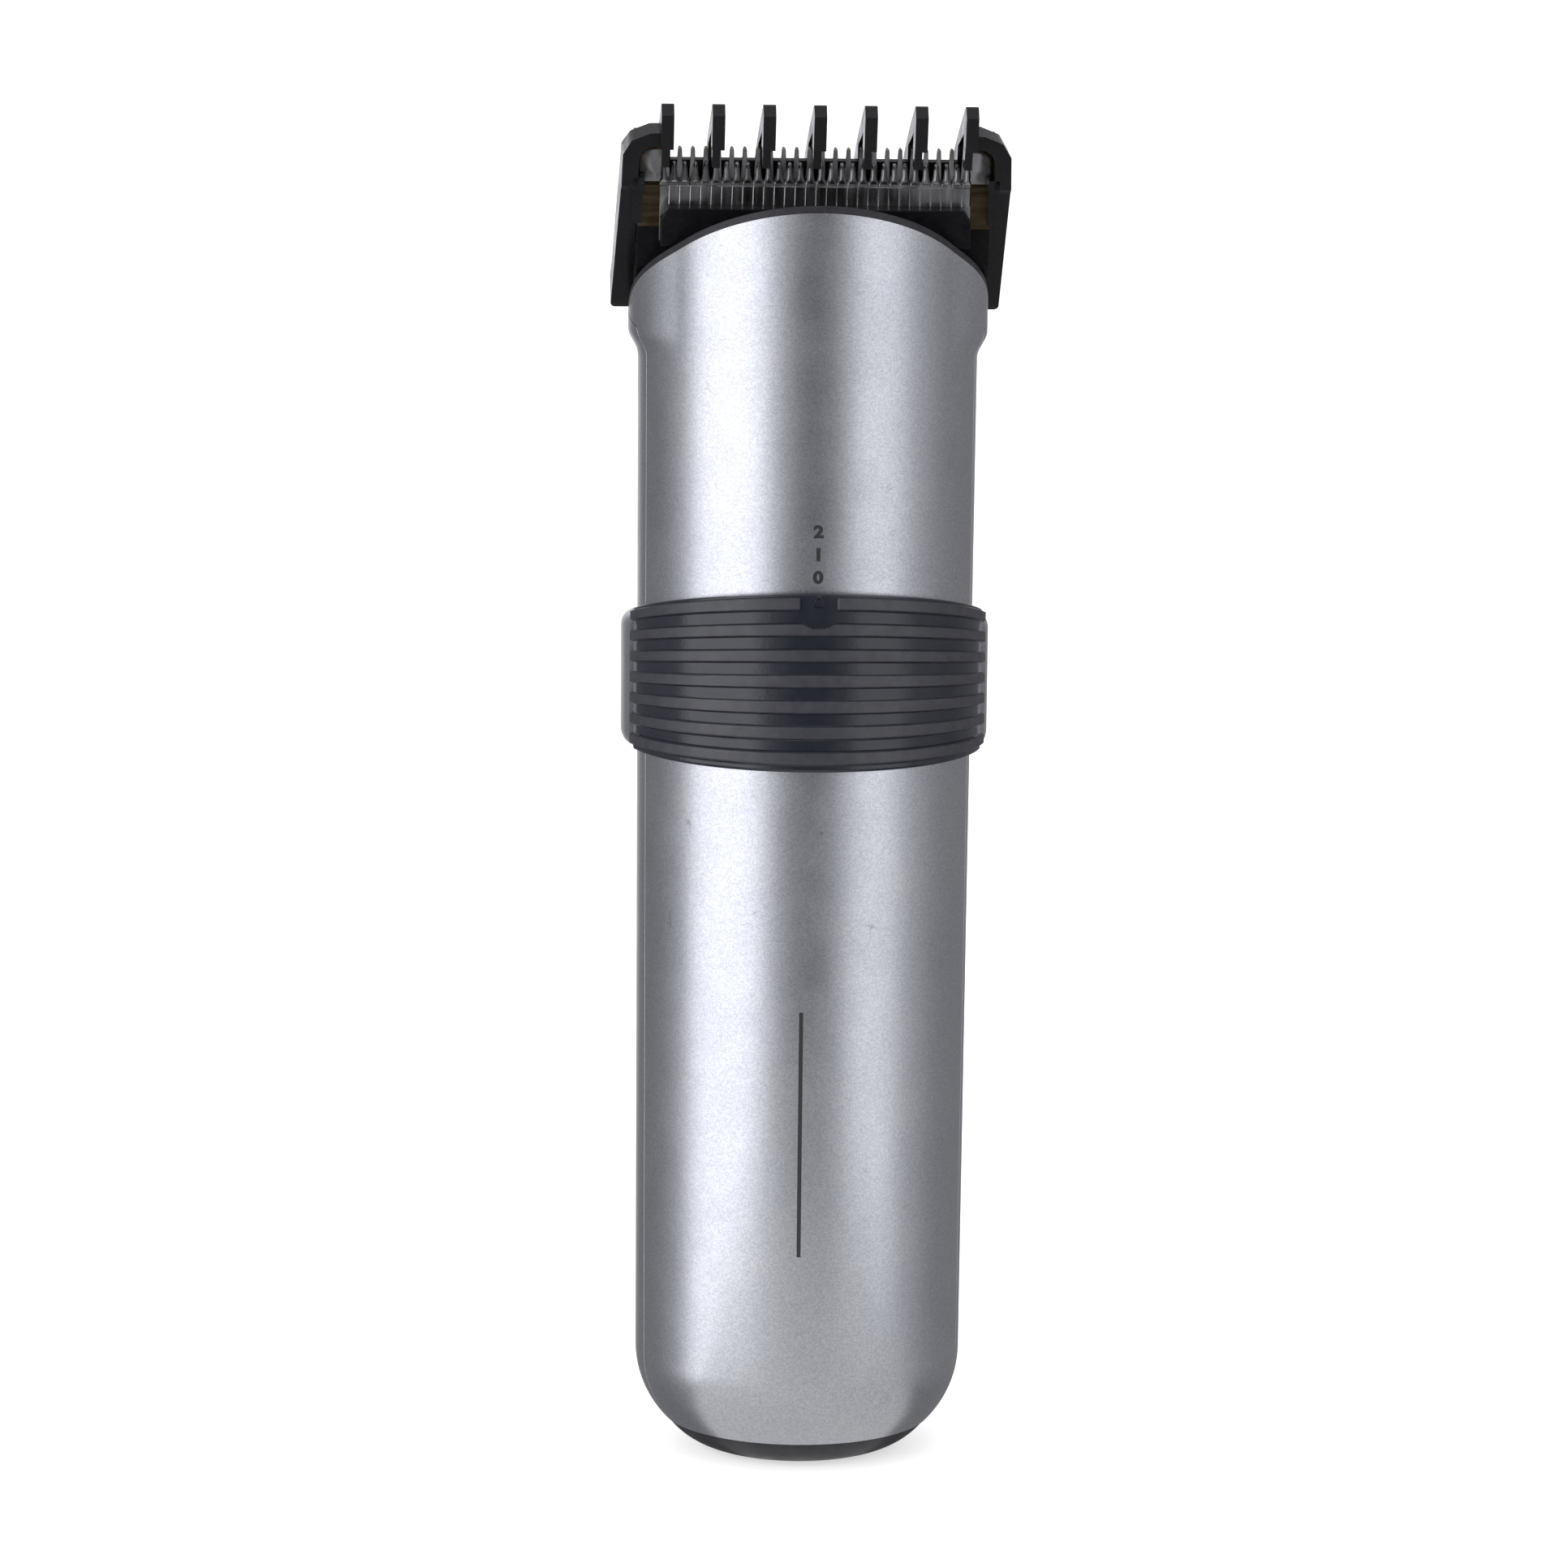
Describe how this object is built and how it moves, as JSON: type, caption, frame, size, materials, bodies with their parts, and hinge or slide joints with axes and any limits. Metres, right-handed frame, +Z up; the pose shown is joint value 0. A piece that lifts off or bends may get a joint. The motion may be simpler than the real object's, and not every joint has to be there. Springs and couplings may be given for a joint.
{
  "type": "hair clipper",
  "caption": "Cordless hair clipper with a cylindrical handle, a slanted blade head with a reciprocating blade, a sliding switch ring and a clip-on guide comb.",
  "frame": {"origin": "centre of the flat foot of the base cap, on the handle's axis", "axes": "+Z up along the handle towards the blades; -Y is the front, with the pointer of the switch ring; +X to the right when looking at the front"},
  "size_m": [0.0494, 0.0466, 0.1714],
  "materials": {
    "silver_lacquer": "metallic silver lacquer on moulded plastic",
    "charcoal_trim": "satin moulded",
    "ring_plastic": "gloss grooves with satin ribs",
    "head_black": "moulded, semi-gloss",
    "comb_black": "polished moulding",
    "blade_steel": "ground and brushed",
    "spring_steel": "rolled",
    "screw_steel": "nickel plated",
    "shaft_steel": "ground",
    "motor_steel": "zinc plated",
    "inner_plastic": "moulded",
    "white_plastic": "acetal",
    "contact_brass": "plated",
    "nickel": "rolled strip",
    "board_green": "solder mask",
    "component_body": "moulded",
    "cell_sleeve": "shrink sleeve",
    "lead_insulation": "insulation"
  },
  "bodies": {
    "handle": {"front_shell": "silver_lacquer", "rear_shell": "silver_lacquer", "head_bezel": "charcoal_trim", "base_cap": "charcoal_trim", "cap_screws": "screw_steel", "shell_screws": "screw_steel", "dc_jack": "inner_plastic", "jack_pin": "contact_brass", "circuit_board": "board_green", "charge_parts": "component_body", "battery_cells": "cell_sleeve", "battery_straps": "nickel", "battery_leads": "lead_insulation", "motor_can": "motor_steel", "motor_end_bell": "white_plastic", "motor_leads": "lead_insulation", "motor_mount": "inner_plastic", "motor_screws": "screw_steel", "switch_body": "inner_plastic"},
    "rotor": {"motor_shaft": "shaft_steel", "eccentric_cam": "white_plastic", "cam_pin": "shaft_steel"},
    "ring": {"ring_grip": "ring_plastic", "ring_back": "silver_lacquer", "ring_tab": "ring_plastic", "switch_knob": "white_plastic"},
    "head": {"head_carrier": "head_black", "fixed_blade": "blade_steel", "blade_screws": "screw_steel", "pressure_spring": "spring_steel", "spring_screws": "screw_steel"},
    "cutter": {"moving_blade": "blade_steel", "drive_fork": "head_black"},
    "comb": {"guide_comb": "comb_black"}
  },
  "joints": [
    {"name": "ring_slide", "type": "slide", "parent": "handle", "child": "ring", "axis": [0, 0, 1], "range_m": [0, 0.0056]},
    {"name": "motor_spin", "type": "hinge", "parent": "handle", "child": "rotor", "pos_m": [0, 0, 0.11], "axis": [0, 0, 1], "continuous": true},
    {"name": "head_release", "type": "slide", "parent": "handle", "child": "head", "axis": [0, -0.2419, 0.9703], "range_m": [0, 0.018]},
    {"name": "blade_slide", "type": "slide", "parent": "head", "child": "cutter", "axis": [1, 0, 0], "range_m": [-0.0011, 0.0011]},
    {"name": "comb_slide", "type": "slide", "parent": "head", "child": "comb", "axis": [0, -0.2419, 0.9703], "range_m": [0, 0.026]}
  ]
}
